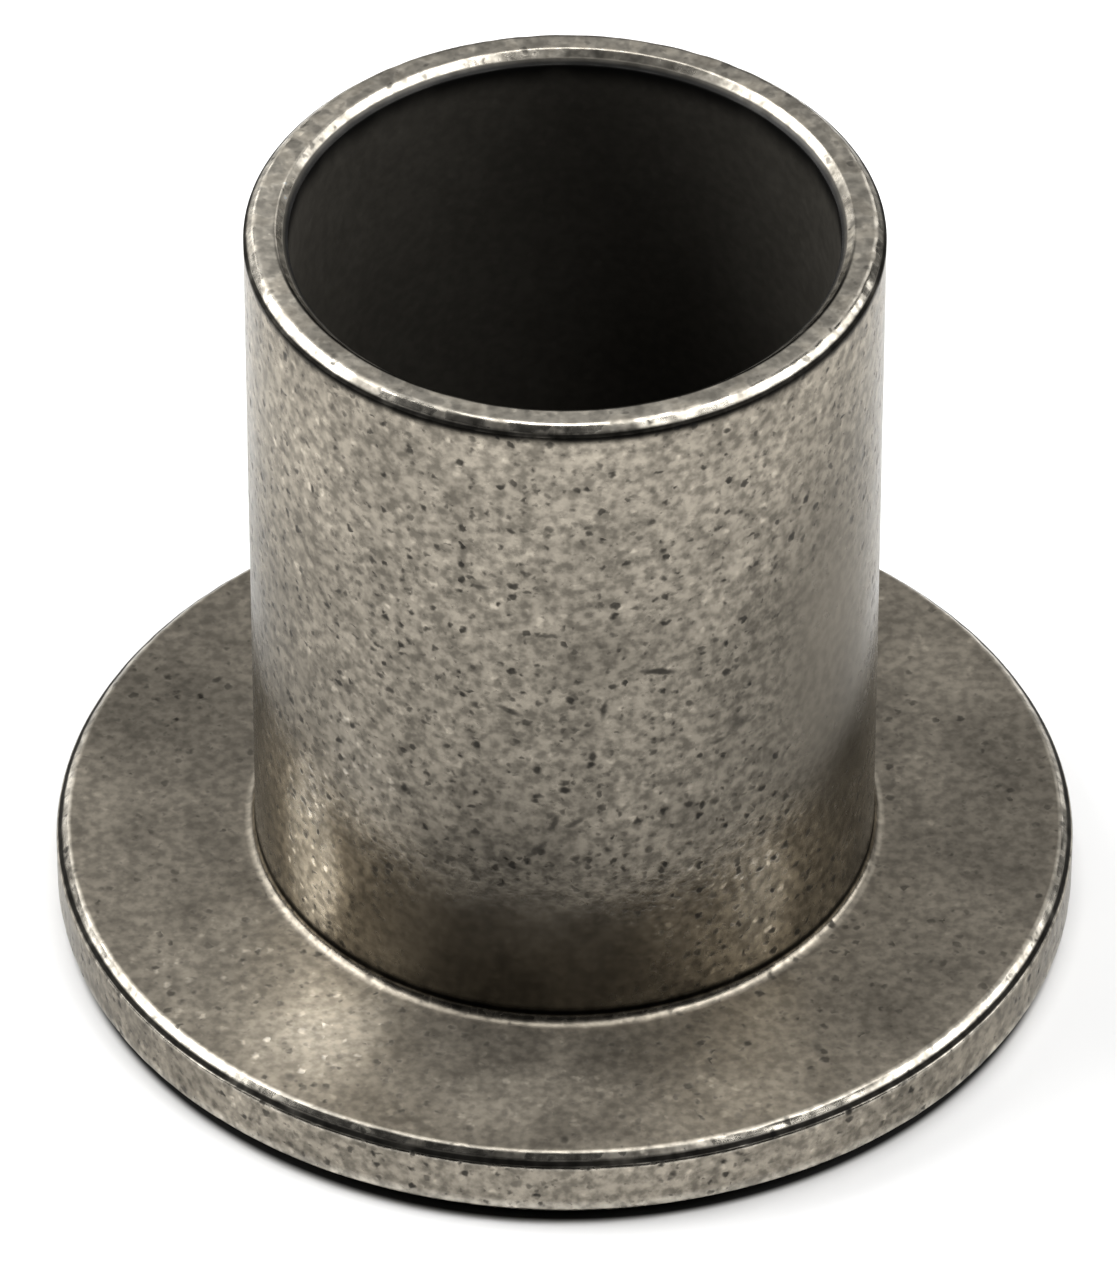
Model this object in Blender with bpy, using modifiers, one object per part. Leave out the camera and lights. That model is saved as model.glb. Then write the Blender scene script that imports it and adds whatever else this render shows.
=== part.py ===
"""Flanged sleeve bushing of sintered bronze, modelled at its real size.

The bushing stands on the underside of its flange. The origin is the centre of that
face, on the axis of the bore, and +Z runs along the bore to the end of the sleeve.
It is one turned ring: the sleeve, the flange and the fillet between them are pressed
and sintered as a single piece, so the model has a single node.
"""

import math

import bmesh
import bpy

INCH = 0.0254

# Driving dimensions, in metres.
BORE_DIAMETER = 3 / 4 * INCH
SLEEVE_DIAMETER = 7 / 8 * INCH
FLANGE_DIAMETER = (1 + 7 / 16) * INCH
FLANGE_THICKNESS = 1 / 8 * INCH
OVERALL_LENGTH = (1 + 3 / 16) * INCH

# Edge breaks: 45 degree chamfers and the fillet where the sleeve meets the flange.
BORE_CHAMFER = 0.00045
SLEEVE_END_CHAMFER = 0.00037
FLANGE_TOP_CHAMFER = 0.00045
FLANGE_BOTTOM_CHAMFER = 1 / 32 * INCH
FILLET_RADIUS = 1 / 64 * INCH

# Fineness of the mesh.
TURN_STEPS = 96
FILLET_STEPS = 6
MERGE_DISTANCE = 0.00001

# Sintered bronze: a dull yellow-brown metal.
BRONZE_COLOUR = (0.28, 0.25, 0.20, 1.0)
BRONZE_ROUGHNESS = 0.42
SHARP_ANGLE = math.radians(30)

NODE = "flanged_bushing"
COLLECTION = "sleeve_bushing"


def clear_scene():
    for obj in list(bpy.data.objects):
        bpy.data.objects.remove(obj, do_unlink=True)


def make_collection(name):
    collection = bpy.data.collections.new(name)
    bpy.context.scene.collection.children.link(collection)
    return collection


def bronze_material():
    material = bpy.data.materials.new("sintered_bronze")
    material.use_nodes = True
    shader = material.node_tree.nodes["Principled BSDF"]
    shader.inputs["Base Color"].default_value = BRONZE_COLOUR
    shader.inputs["Roughness"].default_value = BRONZE_ROUGHNESS
    shader.inputs["Metallic"].default_value = 1.0
    return material


def fillet_points(centre_radius, centre_height, radius):
    """The concave arc from the sleeve's wall down and out to the flange's top face."""
    points = []
    for step in range(FILLET_STEPS + 1):
        turn = math.pi + math.pi / 2 * step / FILLET_STEPS
        points.append((centre_radius + radius * math.cos(turn), centre_height + radius * math.sin(turn)))
    return points


def bushing_profile():
    """(radius, height) pairs round the wall's section: over the sleeve's end, down the
    outside to the flange's edge, across the underside and back up the bore."""
    bore = BORE_DIAMETER / 2
    sleeve = SLEEVE_DIAMETER / 2
    flange = FLANGE_DIAMETER / 2
    sleeve_end = [
        (bore + BORE_CHAMFER, OVERALL_LENGTH),
        (sleeve - SLEEVE_END_CHAMFER, OVERALL_LENGTH),
        (sleeve, OVERALL_LENGTH - SLEEVE_END_CHAMFER),
    ]
    fillet = fillet_points(sleeve + FILLET_RADIUS, FLANGE_THICKNESS + FILLET_RADIUS, FILLET_RADIUS)
    flange_edge = [
        (flange - FLANGE_TOP_CHAMFER, FLANGE_THICKNESS),
        (flange, FLANGE_THICKNESS - FLANGE_TOP_CHAMFER),
        (flange, FLANGE_BOTTOM_CHAMFER),
        (flange - FLANGE_BOTTOM_CHAMFER, 0.0),
    ]
    bore_wall = [
        (bore + BORE_CHAMFER, 0.0),
        (bore, BORE_CHAMFER),
        (bore, OVERALL_LENGTH - BORE_CHAMFER),
    ]
    return sleeve_end + fillet + flange_edge + bore_wall


def profile_mesh(name, profile):
    """A closed loop of edges in the XZ plane."""
    sketch = bmesh.new()
    points = [sketch.verts.new((radius, 0.0, height)) for radius, height in profile]
    for start, end in zip(points, points[1:] + points[:1]):
        sketch.edges.new((start, end))
    mesh = bpy.data.meshes.new(name)
    sketch.to_mesh(mesh)
    sketch.free()
    return mesh


def add_turn(obj):
    """Spins the profile once round the Z axis into a closed ring."""
    turn = obj.modifiers.new("Turn", "SCREW")
    turn.axis = "Z"
    turn.angle = math.tau
    turn.screw_offset = 0.0
    turn.steps = TURN_STEPS
    turn.render_steps = TURN_STEPS
    turn.use_merge_vertices = True
    turn.merge_threshold = MERGE_DISTANCE


def bake_modifiers(obj):
    """Replaces the profile by the turned ring, so that its edges can be shaded."""
    graph = bpy.context.evaluated_depsgraph_get()
    turned = bpy.data.meshes.new_from_object(obj.evaluated_get(graph))
    profile = obj.data
    obj.modifiers.clear()
    obj.data = turned
    bpy.data.meshes.remove(profile)
    turned.name = obj.name


def make_bushing(collection):
    obj = bpy.data.objects.new(NODE, profile_mesh(NODE, bushing_profile()))
    collection.objects.link(obj)
    add_turn(obj)
    bpy.context.view_layer.update()
    bake_modifiers(obj)
    obj.data.shade_smooth()
    obj.data.set_sharp_from_angle(angle=SHARP_ANGLE)
    obj.data.materials.append(bronze_material())
    return obj


def main():
    clear_scene()
    make_bushing(make_collection(COLLECTION))


main()
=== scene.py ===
"""Looks of a flanged sleeve bushing of sintered bronze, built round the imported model.

One finely meshed piece stands for the CAD node: the same turned ring, with its edges
eased, a slightly uneven pressed surface, small pits and nicks, and a porous, oil-filled
bronze finish. Sizes are read from the CAD node, in metres, and +Z is the bore's axis.
"""

import math
from types import SimpleNamespace

import bpy
import numpy as np
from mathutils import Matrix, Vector, noise


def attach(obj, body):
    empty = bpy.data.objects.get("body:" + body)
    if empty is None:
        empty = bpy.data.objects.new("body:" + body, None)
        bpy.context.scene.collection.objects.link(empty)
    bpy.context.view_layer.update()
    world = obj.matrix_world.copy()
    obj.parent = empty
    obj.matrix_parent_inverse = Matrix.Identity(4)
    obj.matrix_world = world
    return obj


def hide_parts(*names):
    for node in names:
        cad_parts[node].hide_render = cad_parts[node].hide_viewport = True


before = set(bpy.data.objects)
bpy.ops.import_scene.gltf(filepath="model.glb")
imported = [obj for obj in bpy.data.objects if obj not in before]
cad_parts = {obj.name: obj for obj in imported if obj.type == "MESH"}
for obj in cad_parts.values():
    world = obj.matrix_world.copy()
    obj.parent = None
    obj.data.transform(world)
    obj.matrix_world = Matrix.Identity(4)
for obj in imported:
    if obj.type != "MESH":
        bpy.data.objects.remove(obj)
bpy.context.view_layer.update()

NODE = "flanged_bushing"
PIECE = "bushing_body"
BODY = "root"
SLOT = "sintered_bronze"
MM = 0.001

# Mesh of the visible piece.
TURN_STEPS = 400
ARC_STEPS = 6
EASED_EDGE = 0.13 * MM
EASED_END = 0.30 * MM
EASED_FLANGE = 0.30 * MM
EASED_FOOT = 0.24 * MM
FINE_ROW = 0.07 * MM
MIDDLE_ROW = 0.36 * MM
COARSE_ROW = 1.0 * MM

# Unevenness of the pressed surface: (depth, size of a hollow, seed).
BROAD_WAVE = (0.012 * MM, 5.0 * MM, 1)
FINE_WAVE = (0.004 * MM, 0.7 * MM, 2)
EDGE_WEAR = (0.035 * MM, 0.7 * MM, 3)

# The darkest marks on the sleeve's outside: azimuth from the front in degrees, height,
# length and width in mm, slant in degrees, and how dark.
MARKS = (
    (17, 19.0, 1.30, 0.30, -15, 0.9),
    (-10, 17.5, 0.90, 0.24, -25, 0.8),
    (-3, 21.0, 0.90, 0.20, 0, 0.6),
    (-15, 22.9, 0.75, 0.20, 0, 0.6),
    (7, 17.6, 0.25, 0.95, -10, 0.7),
    (-2, 12.4, 0.30, 0.90, -20, 0.7),
    (2, 12.5, 1.00, 0.26, 35, 0.7),
    (-5, 11.2, 1.10, 0.32, 50, 0.7),
    (33, 15.6, 0.75, 0.65, 0, 0.6),
    (29, 15.1, 0.60, 0.22, 0, 0.6),
    (1, 18.1, 0.30, 0.36, 0, 1.0),
    (-16, 15.7, 0.30, 0.34, 0, 0.9),
    (5, 15.5, 0.28, 0.50, 0, 0.9),
    (0, 14.0, 0.38, 0.30, 0, 1.0),
    (-30, 12.8, 0.34, 0.40, 0, 0.9),
    (-5, 14.9, 0.34, 0.34, -30, 0.9),
)

# The darkest pores on the flange's upper face, with x and y in place of azimuth and height.
FLANGE_MARKS = (
    (-2.1, -15.8, 0.34, 0.50, 0, 0.6),
    (0.7, -16.6, 0.34, 0.42, 0, 0.6),
    (2.0, -16.0, 0.30, 0.40, 0, 0.6),
    (0.0, -17.2, 0.36, 0.44, 0, 0.7),
    (1.3, -14.9, 0.32, 0.42, 0, 0.5),
    (-3.3, -16.6, 0.34, 0.44, 0, 0.6),
    (-4.0, -15.2, 0.30, 0.36, 0, 0.5),
    (8.9, -12.4, 0.34, 0.60, 20, 0.6),
    (-9.6, -14.0, 0.40, 0.46, 0, 0.5),
)

# Painted light and shade with some real wear, given like the marks: above 0 is painted brighter,
# as highlights and reflections on partly rubbed metal, and below 0 is painted shade.
SLEEVE_WEAR_AND_PAINTED_LIGHT = (
    (-90, 30.6, 15.0, 3.0, 0, 0.60),
    (-72, 8.0, 6.0, 9.0, 0, 0.35),
    (-60, 25.0, 10.0, 9.0, 0, 0.15),
    (62, 7.0, 6.0, 8.5, 0, 0.35),
    (38, 17.5, 7.5, 9.0, 0, -0.20),
    (-5, 13.0, 7.0, 5.0, 0, -0.20),
    (-54, 7.0, 4.2, 10.0, 0, 3.6),
    (-40, 12.0, 4.5, 9.0, 20, 0.50),
    (-42, 19.0, 11.0, 15.0, 0, 0.14),
    (39, 6.5, 3.4, 7.5, 0, 1.3),
    (33, 7.5, 8.0, 8.5, 0, 0.80),
    (-80, 24.0, 3.5, 14.0, 0, 0.15),
    (-28, 6.0, 3.0, 7.0, 0, -0.25),
    (-12, 10.5, 9.5, 4.5, 0, -0.40),
    (66, 13.0, 7.0, 12.0, 0, -0.25),
    (60, 22.0, 9.0, 10.0, 0, -0.25),
    (6, 20.0, 7.0, 5.0, 30, -0.20),
)
# The same painted light and shade on the flange's upper face.
FLANGE_WEAR_AND_PAINTED_LIGHT = (
    (-8.4, -11.8, 8.5, 6.0, 40, 0.9),
    (-13.2, -9.0, 8.0, 4.5, -50, 0.35),
    (-11.4, -6.6, 3.5, 5.0, 0, 0.40),
    (-2.0, -15.0, 9.0, 4.0, 0, 0.40),
    (5.0, -15.4, 7.0, 3.0, 15, 0.25),
    (-14.6, 5.8, 9.0, 9.0, 0, -0.40),
    (10.6, -10.2, 6.0, 5.0, 0, -0.25),
    (16.2, 1.0, 5.5, 17.0, 0, -0.30),
)
# Places smeared smooth on the sleeve.
SMEARED = ((58, 15.0, 6.5, 17.0, 8, 1.0), (-9, 5.5, 13.0, 8.5, 0, 1.0))

# How brightly worn the sleeve's end face is, next to 1 for the chamfers outside it.
WORN_END = 0.68
# Painted shade that darkens the sleeve towards the bottom, where it mirrors the flange and the
# shaded floor near it, by height, and how much the flange's edge is darkened.
LOW_SHADE_TOP = 30.5 * MM
LOW_SHADE_FULL = 9.5 * MM
LOW_SHADE_RIM = 0.35
LOW_SHADE_DARKENING = 0.50
# Painted shade: dark lines along the edges, under the chamfers' glints, at the bore's lip and
# above the fillet; how far they come and go, and over what distance.
SHADE_LINE_MEAN = 1.05
SHADE_LINE_SWING = 0.35
SHADE_LINE_PATCH = (1.2 * MM, 4)
# What counts as being on the sleeve's or the flange's outside.
TOUCHING = 0.02 * MM

# Colours and roughness of the bronze.
BRONZE = (0.262, 0.235, 0.192, 1)
RUBBED_AND_HIGHLIGHT_BRONZE = (0.246, 0.235, 0.214, 1)
BRIGHT_BRONZE = (0.68, 0.64, 0.56, 1)
# Painted shade: the bore gets a colour far darker than the bronze outside, for the shade deep
# inside it.
SHADED_BORE = (0.062, 0.057, 0.048, 1)
WALL_ROUGHNESS = 0.24
FACE_ROUGHNESS = 0.50
EDGE_ROUGHNESS = 0.22
GRAZING_TINT = (0.74, 0.73, 0.71, 1)
# Pores, and dots of painted glint: (cells a metre, share of cells, radius and soft border in
# cells, strength).
DARK_PORES = (2300.0, 0.80, 0.56, 0.36, 0.9)
FAINT_PORES = (3200.0, 0.95, 0.56, 0.42, 0.62)
DASHES = (1250.0, 0.40, 0.36, 0.24, 0.8)
GLINT_DOTS = (2500.0, 0.60, 0.55, 0.38, 1.0)
# How the pores and marks are bent out of round: (noise scale, distance).
PORE_WARP = (3600.0, 0.30 * MM)
# Clouds of lighter and darker metal, from fine to broad: (noise scale, detail, roughness),
# and the brightness of each on its dark and on its light side.
GRAIN = (2500.0, 2.0, 0.5)
GRAIN_SHADES = (0.62, 1.44)
PATCHES = (520.0, 3.0, 0.55)
PATCH_SHADES = (0.86, 1.14)
STAINS = (150.0, 2.0, 0.5)
STAIN_SHADES = (0.90, 1.10)
# Clouds that decide which parts of a worn edge are dull.
DULL_CLOUDS = (1100.0, 2.0, 0.5)
# How much of the clouds is left on the pressed faces, where smeared, and in the bore.
PRESSED_CALM = 0.62
SMEARED_CALM = 0.35
BORE_CALM = 0.3
# How much brightness is left in an open pore and under the painted shade lines.
PORE_SHADE = 0.14
SHADE_LINE_BRIGHTNESS = 0.025
BUMP_HEIGHT = 0.04 * MM

# View and light.
# Painted shade on the paper: darker near the bushing, grey far away, and near black in a contact
# shadow under the flange's edge.
PAPER = (0.96, 0.96, 0.96, 1)
NEAR_PAPER_SHADE = (0.90, 0.90, 0.90, 1)
FAR_PAPER_SHADE = (0.30, 0.30, 0.30, 1)
PAINTED_CONTACT_SHADOW = (0.004, 0.004, 0.004, 1)
FILL = 0.02
LIGHT_DISTANCE = 0.5
LIGHT_AIM_HEIGHT = 10 * MM
# (name, azimuth, elevation, width, height, radiance), in degrees and metres.
SOFTBOXES = (
    ("top", 0, 90, 0.20, 0.20, 7.5),
    ("left", -104, 48, 0.30, 0.20, 8.0),
    ("left_back", -150, 52, 0.17, 0.18, 1.2),
    ("left_side", -100, 26, 0.40, 0.22, 4.2),
    ("left_floor", -150, 12, 0.30, 0.18, 1.6),
    ("right", 58, 58, 0.20, 0.20, 7.0),
    ("right_low", 82, 38, 0.20, 0.22, 4.4),
    ("right_side", 96, 20, 0.40, 0.20, 3.0),
    ("right_back", 150, 30, 0.20, 0.40, 1.5),
)
CAMERA_DISTANCE = 0.4382
CAMERA_ELEVATION = math.radians(41.72)
CAMERA_LENS = 341.7
AIM = Vector((-0.22 * MM, 0.0, 11.34 * MM))


def measure(node):
    """Reads the bushing's sizes from the corners of its CAD node."""
    points = np.array([vertex.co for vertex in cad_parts[node].data.vertices])
    radius = np.hypot(points[:, 0], points[:, 1])
    height = points[:, 2]
    tiny = 0.01 * MM
    length = height.max()
    end = radius[height > length - tiny]
    foot = radius[height < tiny]
    bore, flange = radius.min(), radius.max()
    sleeve = radius[height > length / 2].max()
    thickness = height[radius > (sleeve + flange) / 2].max()
    shoulder = radius[abs(height - thickness) < tiny]
    return SimpleNamespace(
        length=length,
        bore=bore,
        sleeve=sleeve,
        flange=flange,
        thickness=thickness,
        bore_chamfer=end.min() - bore,
        end_chamfer=sleeve - end.max(),
        top_chamfer=flange - shoulder.max(),
        foot_chamfer=flange - foot.max(),
        fillet=shoulder.min() - sleeve,
    )


def corners_of(size):
    """The section's corners in order: over the sleeve's end, down the outside, across
    the underside and up the bore. Each is (radius, height, rounding, row length of the
    straight stretch that follows, how brightly worn that stretch is)."""
    top = size.length
    return [
        (size.bore + size.bore_chamfer, top, EASED_EDGE, FINE_ROW, WORN_END),
        (size.sleeve - size.end_chamfer, top, EASED_END, FINE_ROW, 1.0),
        (size.sleeve, top - size.end_chamfer, EASED_EDGE, MIDDLE_ROW, 0.0),
        (size.sleeve, size.thickness, size.fillet, MIDDLE_ROW, 0.0),
        (size.flange - size.top_chamfer, size.thickness, EASED_FLANGE, FINE_ROW, 1.0),
        (size.flange, size.thickness - size.top_chamfer, EASED_FLANGE, MIDDLE_ROW, 0.0),
        (size.flange, size.foot_chamfer, EASED_FOOT, MIDDLE_ROW, 0.6),
        (size.flange - size.foot_chamfer, 0.0, EASED_FOOT, COARSE_ROW, 0.0),
        (size.bore + size.bore_chamfer, 0.0, EASED_EDGE, FINE_ROW, 0.6),
        (size.bore, size.bore_chamfer, EASED_EDGE, COARSE_ROW, 0.0),
        (size.bore, top - size.bore_chamfer, EASED_EDGE, FINE_ROW, 0.75),
    ]


def ring(rows, radius, height, reach):
    """1 on the rows close to one place of the section, falling to 0 away from it."""
    gap = np.hypot(rows[:, 0] - radius, rows[:, 1] - height)
    return np.clip(1.8 - gap / reach, 0, 1)


def shade_lines_of(size, rows):
    """Painted shade: how dark each row is, in the lines that follow the upper edges and the top
    of the fillet.
    """
    places = (
        (size.sleeve - 0.03 * MM, size.length - size.end_chamfer + 0.03 * MM, 0.115 * MM),
        (size.flange - 0.14 * MM, size.thickness - size.top_chamfer + 0.14 * MM, 0.10 * MM),
        (size.bore, size.length - size.bore_chamfer - 0.04 * MM, 0.16 * MM),
        (size.sleeve, size.thickness + size.fillet, 0.08 * MM),
    )
    return np.max([ring(rows, *place) for place in places], axis=0)


def eased_corner(before, corner, after, rounding):
    """Points of the arc that rounds one corner, from the stretch before to the one after."""
    back = (before - corner).normalized()
    ahead = (after - corner).normalized()
    half = back.angle(ahead) / 2
    start = corner + back * (rounding / math.tan(half))
    end = corner + ahead * (rounding / math.tan(half))
    centre = corner + (back + ahead).normalized() * (rounding / math.sin(half))
    points = []
    for step in range(ARC_STEPS + 1):
        spoke = (start - centre).lerp(end - centre, step / ARC_STEPS)
        points.append(centre + spoke.normalized() * rounding)
    return points


def outline_rows(size):
    """The eased outline as (radius, height) rows, and how much each row is a worn edge, with a
    painted highlight along the flange's lower edge.
    """
    corners = corners_of(size)
    count = len(corners)
    places = [Vector((corner[0], corner[1])) for corner in corners]
    arcs = [
        eased_corner(places[i - 1], places[i], places[(i + 1) % count], corners[i][2])
        for i in range(count)
    ]
    rows, wear_and_foot_highlight = [], []
    for i, (_, _, _, row_length, shine) in enumerate(corners):
        rows += arcs[i]
        wear_and_foot_highlight += np.linspace(corners[i - 1][4], shine, len(arcs[i])).tolist()
        start = arcs[i][-1]
        gap = arcs[(i + 1) % count][0] - start
        steps = max(1, round(gap.length / row_length))
        for step in range(1, steps):
            rows.append(start + gap * (step / steps))
            wear_and_foot_highlight.append(shine)
    rows = np.array(rows)
    # Painted highlight: a bright line along the flange's lower edge, where the white floor is
    # mirrored.
    foot = ring(rows, size.flange, size.foot_chamfer + 0.05 * MM, 0.12 * MM)
    return rows, np.maximum(wear_and_foot_highlight, 0.8 * foot)


def outward_normals(rows):
    """The outward direction of each row, across the line through its two neighbours."""
    along = np.roll(rows, -1, axis=0) - np.roll(rows, 1, axis=0)
    across = np.stack([-along[:, 1], along[:, 0]], axis=1)
    return across / np.linalg.norm(across, axis=1)[:, None]


def noise_field(points, size, seed):
    """Smooth noise between about -1 and 1 at each point, for hollows of the given size."""
    shift = Vector((seed * 17.3, seed * 5.1, seed * 9.7))
    return np.array([noise.noise(Vector(point) / size + shift) for point in points])


def all_round(values):
    """One value of each row, repeated for every step of the turn."""
    return np.repeat(values, TURN_STEPS)


def spun(rows, turn):
    """(radius, height) rows turned round the bore's axis, as x, y and z."""
    radius, height = all_round(rows[:, 0]), all_round(rows[:, 1])
    return np.column_stack([radius * np.cos(turn), radius * np.sin(turn), height])


def uneven(points, outward, edge):
    """The points moved in and out by the waves and chips of the surface, none below the foot."""
    depth = BROAD_WAVE[0] * (noise_field(points, *BROAD_WAVE[1:]) - 1)
    depth += FINE_WAVE[0] * (noise_field(points, *FINE_WAVE[1:]) - 1)
    chipped = np.clip(noise_field(points, *EDGE_WEAR[1:]) + 0.1, 0, 1)
    depth -= EDGE_WEAR[0] * chipped * np.clip(edge * 2 - 1, 0, 1)
    points = points + outward * depth[:, None]
    points[:, 2] = np.maximum(points[:, 2], 0.0)
    return points


def ring_faces(count):
    """Four-sided faces between each row and the next, and from the last to the first."""
    index = np.arange(count * TURN_STEPS).reshape(count, TURN_STEPS)
    down = np.roll(index, -1, axis=0)
    faces = [index, down, np.roll(down, -1, axis=1), np.roll(index, -1, axis=1)]
    return np.stack(faces, axis=2).reshape(-1, 4).tolist()


def surface_layers(size, rows, across, turn, points):
    """What the finish needs to know at each point, by name, from 0 to 1."""
    radius, height = all_round(rows[:, 0]), all_round(rows[:, 1])
    above_fillet = height > size.thickness + size.fillet * 0.5
    on_sleeve = (np.abs(radius - size.sleeve) < TOUCHING) & above_fillet
    on_rim = np.abs(radius - size.flange) < TOUCHING
    # Painted shade: darker down the sleeve towards the flange, and a fixed darkening on the
    # flange's edge.
    low_ramp = np.clip((LOW_SHADE_TOP - height) / (LOW_SHADE_TOP - LOW_SHADE_FULL), 0, 1)
    # Painted shade: a dark line on the bore's lip, only on the front side, towards -Y.
    front_lip_shade = all_round(ring(rows, size.bore + size.bore_chamfer, size.length, 0.06 * MM))
    front_lip_shade = front_lip_shade * np.clip(0.3 - 2 * np.sin(turn), 0, 1)
    shade_line = np.maximum(all_round(shade_lines_of(size, rows)), front_lip_shade)
    swing = SHADE_LINE_SWING * noise_field(points, *SHADE_LINE_PATCH)
    return {
        "shade_line": shade_line * np.clip(SHADE_LINE_MEAN + swing, 0, 1),
        "low_shade": np.where(on_sleeve, low_ramp, np.where(on_rim, LOW_SHADE_RIM, 0)),
        "bore": radius < size.bore + size.bore_chamfer * 0.4,
        "pressed": np.clip(np.abs(all_round(across[:, 1])) * 2.4 - 1.4, 0, 1),
    }


def make_body(size):
    """The visible bushing: its outline turned round the axis, with the layers of the finish."""
    rows, wear_and_foot_highlight = outline_rows(size)
    across = outward_normals(rows)
    turn = np.tile(np.arange(TURN_STEPS) / TURN_STEPS * math.tau, len(rows))
    edge = all_round(wear_and_foot_highlight)
    points = uneven(spun(rows, turn), spun(across, turn), edge)
    mesh = bpy.data.meshes.new(PIECE)
    mesh.from_pydata(points.tolist(), [], ring_faces(len(rows)))
    mesh.shade_smooth()
    layers = {"edge": edge, **surface_layers(size, rows, across, turn, points)}
    for name, values in layers.items():
        layer = mesh.attributes.new(name, "FLOAT", "POINT")
        layer.data.foreach_set("value", values.astype(np.float32))
    body = bpy.data.objects.new(PIECE, mesh)
    bpy.context.scene.collection.objects.link(body)
    return body


class Nodes:
    """Short calls that add and join the nodes of one material."""

    def __init__(self, tree):
        self.tree = tree
        tree.nodes.clear()

    def add(self, kind, inputs=(), **settings):
        node = self.tree.nodes.new(kind)
        for name, value in settings.items():
            setattr(node, name, value)
        for socket, value in dict(inputs).items():
            if isinstance(value, bpy.types.NodeSocket):
                self.tree.links.new(value, node.inputs[socket])
            else:
                node.inputs[socket].default_value = value
        return node

    def attribute(self, name):
        return self.add("ShaderNodeAttribute", attribute_name=name).outputs["Fac"]

    def math(self, operation, a, b):
        return self.add("ShaderNodeMath", {0: a, 1: b}, operation=operation).outputs[0]

    def product(self, value, *factors):
        for factor in factors:
            value = self.math("MULTIPLY", value, factor)
        return value

    def vector(self, operation, inputs):
        return self.add("ShaderNodeVectorMath", inputs, operation=operation).outputs[0]

    def length(self, vector):
        node = self.add("ShaderNodeVectorMath", {0: vector}, operation="LENGTH")
        return node.outputs["Value"]

    def cloud(self, place, scale, detail, roughness, output="Fac"):
        inputs = {"Vector": place, "Scale": scale, "Detail": detail, "Roughness": roughness}
        return self.add("ShaderNodeTexNoise", inputs).outputs[output]

    def span(self, value, low, high, start=0.0, end=1.0):
        """Maps low..high to start..end smoothly, and holds outside it."""
        inputs = {0: value, 1: low, 2: high, 3: start, 4: end}
        return self.add("ShaderNodeMapRange", inputs, interpolation_type="SMOOTHSTEP").outputs[0]

    def fade(self, value, end):
        """A factor that goes smoothly from 1 to the given end as the value goes from 0 to 1."""
        return self.span(value, 0.0, 1.0, 1.0, end)

    def mix(self, factor, a, b):
        return self.add("ShaderNodeMix", {0: factor, 6: a, 7: b}, data_type="RGBA").outputs[2]


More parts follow.
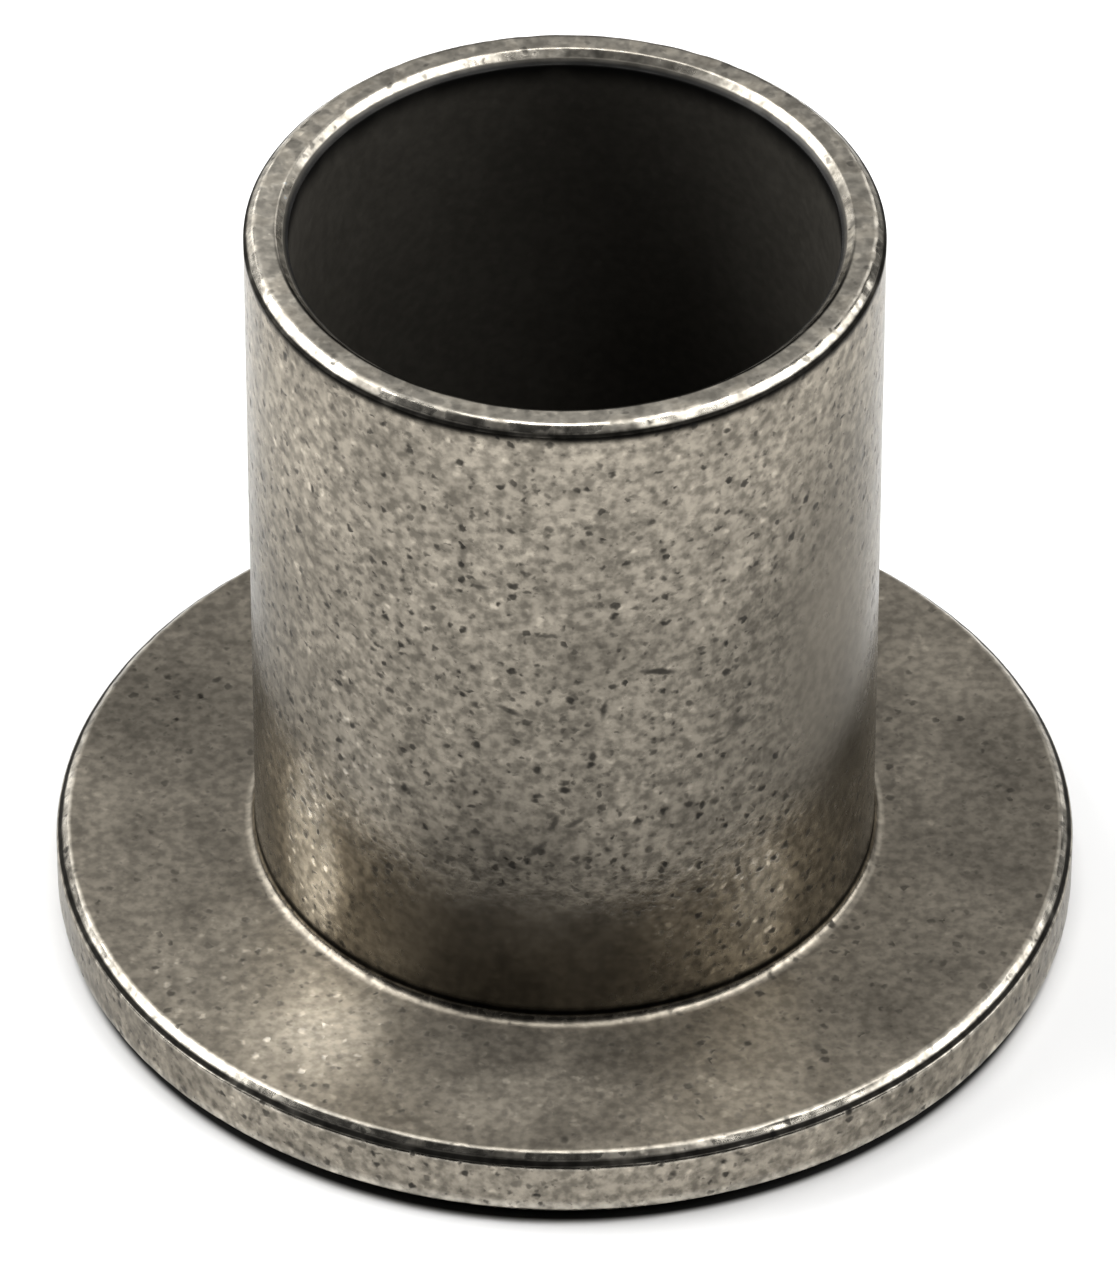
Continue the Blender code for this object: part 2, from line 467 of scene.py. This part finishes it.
class BronzeNodes(Nodes):
    """The places and patterns that the bronze finish is made of."""

    def __init__(self, tree, sleeve):
        super().__init__(tree)
        self.sleeve = sleeve
        self.place = self.add("ShaderNodeTexCoord").outputs["Object"]
        self.edge = self.attribute("edge")
        self.shade_line = self.attribute("shade_line")
        self.low_shade = self.attribute("low_shade")
        self.bore = self.attribute("bore")
        self.pressed = self.attribute("pressed")
        self.outside = self.math("SUBTRACT", 1.0, self.bore)

        # A small shift that takes the pores and marks out of round.
        warp = self.cloud(self.place, PORE_WARP[0], 1.0, 0.5, "Color")
        warp = self.vector("SUBTRACT", {0: warp, 1: (0.5, 0.5, 0.5)})
        warp = self.vector("SCALE", {0: warp, "Scale": PORE_WARP[1]})
        self.warped = self.vector("ADD", {0: self.place, 1: warp})

        # The sleeve unrolled from its front line, and the flange seen from above.
        x, y, z = self.add("ShaderNodeSeparateXYZ", {0: self.place}).outputs
        azimuth = self.math("ARCTAN2", x, self.math("MULTIPLY", y, -1.0))
        round_sleeve = self.math("MULTIPLY", azimuth, sleeve)
        unrolled = self.add("ShaderNodeCombineXYZ", {0: round_sleeve, 1: z}).outputs[0]
        slight = self.vector("SCALE", {0: warp, "Scale": 0.6})
        self.unrolled = self.vector("ADD", {0: unrolled, 1: slight})
        self.flat = self.add("ShaderNodeCombineXYZ", {0: x, 1: y}).outputs[0]
        self.above = self.span(z, 3.2 * MM, 4.0 * MM)
        self.below = self.math("SUBTRACT", 1.0, self.above)

    def spots(self, scale, share, reach, soft, strength, place=None):
        """Round spots of mixed size and strength, in the given share of the cells."""
        inputs = {"Vector": place or self.warped, "Scale": scale}
        cells = self.add("ShaderNodeTexVoronoi", inputs)
        pick = self.add("ShaderNodeSeparateColor", {0: cells.outputs["Color"]}).outputs
        size = self.span(pick[0], 1.0 - share, 1.0, reach * 0.3, reach)
        spot = self.span(self.math("SUBTRACT", size, cells.outputs["Distance"]), 0.0, soft)
        return self.product(spot, self.span(pick[1], 0.0, 1.0, 0.35, 1.0), strength)

    def ovals(self, plane, unit, rows, inner, outer, join="MAXIMUM"):
        """Soft ovals, one from each row of a table. The first number of a row is taken in
        the given unit and the next three in mm."""
        total = 0.0
        for across, up, length, width, slant, strength in rows:
            inputs = {
                "Vector": plane,
                "Location": (across * unit, up * MM, 0.0),
                "Rotation": (0.0, 0.0, math.radians(slant)),
                "Scale": (length * MM / 2, width * MM / 2, 1.0),
            }
            local = self.add("ShaderNodeMapping", inputs, vector_type="TEXTURE").outputs[0]
            oval = self.span(self.length(local), inner, outer, strength, 0.0)
            total = self.math(join, total, oval)
        return total

    def on_sleeve(self, rows, inner, outer, join="MAXIMUM"):
        unit = math.radians(1) * self.sleeve
        return self.product(self.ovals(self.unrolled, unit, rows, inner, outer, join), self.above)

    def on_flange(self, rows, inner, outer, join="MAXIMUM"):
        return self.product(self.ovals(self.flat, MM, rows, inner, outer, join), self.below)

    def spread(self, value, calm, dark_side, light_side):
        """A brightness factor about 1 that follows one texture, flatter where calm is low."""
        away = self.math("SUBTRACT", self.span(value, 0.28, 0.72), 0.5)
        inputs = {0: self.product(away, calm), 1: -0.5, 2: 0.5, 3: dark_side, 4: light_side}
        return self.add("ShaderNodeMapRange", inputs).outputs[0]

    def pores(self, smear):
        """How open and dark the surface is: the pores of the metal and the larger marks."""
        pore = self.math("MAXIMUM", self.spots(*DARK_PORES), self.spots(*FAINT_PORES))
        squeezed = self.vector("MULTIPLY", {0: self.warped, 1: (1.0, 1.0, 2.3)})
        dashes = self.spots(*DASHES, squeezed)
        dashes = self.product(dashes, self.math("SUBTRACT", 1.0, self.pressed))
        pore = self.math("MAXIMUM", pore, dashes)
        pore = self.product(pore, self.fade(self.pressed, 0.75))
        pore = self.math("MAXIMUM", pore, self.on_flange(FLANGE_MARKS, 0.3, 1.6))
        pore = self.math("MAXIMUM", pore, self.on_sleeve(MARKS, 0.3, 1.6))
        return self.product(pore, self.outside, self.fade(smear, 0.15))


def bronze_material(sleeve):
    """Porous, oily bronze: lighter and darker by its pores and marks, and by painted light and
    shade: dark lines along the edges, a darker lower sleeve and bore, glint dots, and the
    highlights and shade of the wear tables.
    """
    material = bpy.data.materials.new(SLOT)
    material.use_nodes = True
    n = BronzeNodes(material.node_tree, sleeve)

    smear = n.on_sleeve(SMEARED, 0.3, 1.35)
    pore = n.pores(smear)
    # Painted glints: light dots that stand in for light caught by the grain.
    glint_dots = n.spots(*GLINT_DOTS)
    wear_and_painted_light = n.math(
        "ADD",
        n.on_sleeve(SLEEVE_WEAR_AND_PAINTED_LIGHT, 0.2, 1.15, "ADD"),
        n.on_flange(FLANGE_WEAR_AND_PAINTED_LIGHT, 0.2, 1.2, "ADD"),
    )
    wear_and_painted_light = n.product(wear_and_painted_light, n.math("ADD", 0.85, n.product(glint_dots, 1.5)))
    grain = n.cloud(n.place, *GRAIN)
    patch = n.cloud(n.place, *PATCHES)
    stain = n.cloud(n.place, *STAINS)
    dull = n.span(n.cloud(n.place, *DULL_CLOUDS), 0.46, 0.64)
    calm = n.product(n.fade(n.pressed, PRESSED_CALM), n.fade(smear, SMEARED_CALM))
    calm = n.product(calm, n.fade(n.bore, BORE_CALM))

    # Brightness: texture, painted glint dots, pores, painted shade lines, painted shade low on
    # the sleeve, and the painted light and wear of the tables.
    level = n.product(
        n.spread(grain, calm, *GRAIN_SHADES),
        n.spread(patch, calm, *PATCH_SHADES),
        n.math("ADD", n.product(glint_dots, calm, 0.5), n.span(n.pressed, 0.0, 1.0, 0.94, 1.0)),
        n.spread(stain, calm, *STAIN_SHADES),
        n.fade(pore, PORE_SHADE),
        n.fade(n.shade_line, SHADE_LINE_BRIGHTNESS),
        n.math("SUBTRACT", 1.0, n.product(n.low_shade, LOW_SHADE_DARKENING)),
        n.math("ADD", 1.0, n.product(wear_and_painted_light, n.outside)),
    )
    tone = n.mix(n.product(n.edge, n.span(dull, 0.0, 1.0, 0.65, 0.35)), BRONZE, BRIGHT_BRONZE)
    # The painted highlights take a greyer, rubbed tone.
    tone = n.mix(n.span(wear_and_painted_light, 0.0, 2.5), tone, RUBBED_AND_HIGHLIGHT_BRONZE)
    # Painted shade: the bore's dark colour.
    tone = n.mix(n.bore, tone, SHADED_BORE)
    tone = n.vector("SCALE", {0: tone, "Scale": level})

    rough = n.span(n.pressed, 0.0, 1.0, WALL_ROUGHNESS, FACE_ROUGHNESS)
    rough = n.math("ADD", rough, n.span(patch, 0.3, 0.7, -0.03, 0.03))
    rough = n.math("ADD", rough, n.product(pore, 0.15))
    rough = n.math("ADD", rough, n.product(n.bore, 0.25))
    polish = n.math("ADD", n.fade(n.edge, EDGE_ROUGHNESS), n.product(dull, 0.22))
    rough = n.math("MINIMUM", rough, polish)
    rough = n.math("MAXIMUM", rough, n.product(n.shade_line, 0.55))

    filled = n.math("MAXIMUM", n.product(pore, 0.2), n.product(n.bore, 0.7))
    relief = n.math("SUBTRACT", grain, n.product(pore, 0.6))
    on_edge = n.span(n.edge, 0.5, 1.0, 1.0, 0.12)
    relief = n.product(relief, calm, on_edge, n.fade(n.pressed, 0.4))
    bump = n.add("ShaderNodeBump", {"Strength": 0.35, "Distance": BUMP_HEIGHT, "Height": relief})

    shader = n.add(
        "ShaderNodeBsdfPrincipled",
        {
            "Base Color": tone,
            "Roughness": rough,
            "Metallic": n.math("SUBTRACT", 1.0, filled),
            "Normal": bump.outputs[0],
            "Specular Tint": GRAZING_TINT,
        },
    )
    n.add("ShaderNodeOutputMaterial", {"Surface": shader.outputs[0]})
    return material


def studio_material(flange):
    """White paper with painted shade: a little darker near the bushing, grey far from it, and a
    near-black painted contact shadow where the bushing stands.
    """
    material = bpy.data.materials.new("studio_paper")
    material.use_nodes = True
    n = Nodes(material.node_tree)
    far = n.length(n.add("ShaderNodeTexCoord").outputs["Object"])
    tone = n.mix(n.span(far, 18 * MM, 42 * MM), NEAR_PAPER_SHADE, PAPER)
    tone = n.mix(n.span(far, 60 * MM, 160 * MM), tone, FAR_PAPER_SHADE)
    tone = n.mix(n.span(far, flange - 0.45 * MM, flange - 0.10 * MM), PAINTED_CONTACT_SHADOW, tone)
    shader = n.add("ShaderNodeBsdfPrincipled", {"Base Color": tone, "Roughness": 0.9})
    n.add("ShaderNodeOutputMaterial", {"Surface": shader.outputs[0]})
    return material


def make_studio(flange):
    """A round white floor that curves up into a low wall on every side."""
    flat, bend, rise = 1.3, 0.35, 0.5
    bend_steps, steps = 12, 96
    section = [(0.0, 0.0), (0.1, 0.0), (flat, 0.0)]
    for step in range(1, bend_steps + 1):
        turn = math.pi / 2 * step / bend_steps
        section.append((flat + bend * math.sin(turn), bend * (1 - math.cos(turn))))
    section.append((flat + bend, rise))
    points = [
        (radius * math.cos(math.tau * i / steps), radius * math.sin(math.tau * i / steps), height)
        for radius, height in section
        for i in range(steps)
    ]
    faces = []
    for row in range(len(section) - 1):
        inner, outer = row * steps, (row + 1) * steps
        for i in range(steps):
            j = (i + 1) % steps
            faces.append((inner + i, inner + j, outer + j, outer + i))
    mesh = bpy.data.meshes.new("studio_floor")
    mesh.from_pydata(points, [], faces)
    mesh.shade_smooth()
    mesh.materials.append(studio_material(flange))
    floor = bpy.data.objects.new("studio_floor", mesh)
    bpy.context.scene.collection.objects.link(floor)


def softbox(name, azimuth, elevation, width, height, radiance):
    """An area light that faces the bushing. Azimuth 0 is the camera's side (-Y), and
    positive azimuths are to the right (+X)."""
    data = bpy.data.lights.new(name, "AREA")
    data.shape = "RECTANGLE"
    data.size = width
    data.size_y = height
    data.energy = radiance * math.pi * width * height
    lamp = bpy.data.objects.new(name, data)
    turn, lift = math.radians(azimuth), math.radians(elevation)
    level = math.cos(lift)
    away = Vector((math.sin(turn) * level, -math.cos(turn) * level, math.sin(lift)))
    lamp.location = away * LIGHT_DISTANCE + Vector((0, 0, LIGHT_AIM_HEIGHT))
    lamp.rotation_euler = away.to_track_quat("Z", "Y").to_euler()
    lamp.visible_camera = False
    bpy.context.scene.collection.objects.link(lamp)


def make_lights():
    for row in SOFTBOXES:
        softbox(*row)
    world = bpy.data.worlds.new("studio")
    bpy.context.scene.world = world
    world.use_nodes = True
    background = world.node_tree.nodes["Background"].inputs
    background["Color"].default_value = (1, 1, 1, 1)
    background["Strength"].default_value = FILL


def make_camera():
    data = bpy.data.cameras.new("camera")
    data.lens = CAMERA_LENS
    data.clip_start = 0.01
    camera = bpy.data.objects.new("camera", data)
    back = Vector((0, -math.cos(CAMERA_ELEVATION), math.sin(CAMERA_ELEVATION)))
    camera.location = back * CAMERA_DISTANCE
    camera.rotation_euler = (AIM - camera.location).to_track_quat("-Z", "Y").to_euler()
    bpy.context.scene.collection.objects.link(camera)
    bpy.context.scene.camera = camera


def main():
    bpy.context.scene.view_settings.view_transform = "Standard"
    make_camera()
    make_lights()
    size = measure(NODE)
    make_studio(size.flange)
    body = make_body(size)
    body.data.materials.append(bronze_material(size.sleeve))
    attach(body, BODY)
    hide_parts(NODE)


main()
